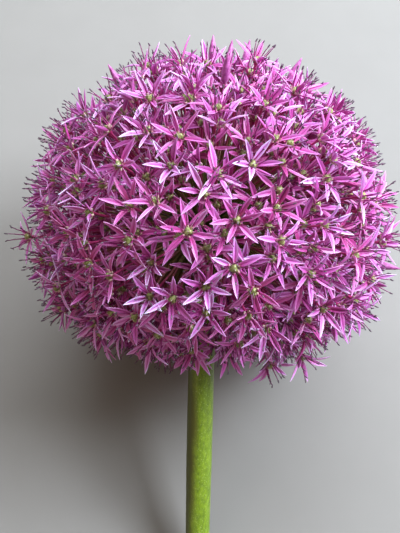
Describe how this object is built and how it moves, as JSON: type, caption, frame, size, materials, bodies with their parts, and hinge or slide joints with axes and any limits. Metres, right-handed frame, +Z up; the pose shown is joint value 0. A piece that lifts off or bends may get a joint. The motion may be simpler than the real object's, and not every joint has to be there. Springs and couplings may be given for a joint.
{
  "type": "allium flower head",
  "caption": "Round purple flower head of a large ornamental onion on a bare green stem, cut and lying on its side.",
  "frame": {"origin": "the point of the resting surface straight below the middle of the head, on the floret that lies flat there", "axes": "+Z up from the surface, +Y level towards the top of the head; the stem runs towards -Y and down to the surface"},
  "size_m": [0.1908, 0.2642, 0.1866],
  "materials": {
    "stem": "satin",
    "florets": "matte"
  },
  "bodies": {
    "root": {"scape": "stem", "umbel": "florets"}
  },
  "joints": []
}
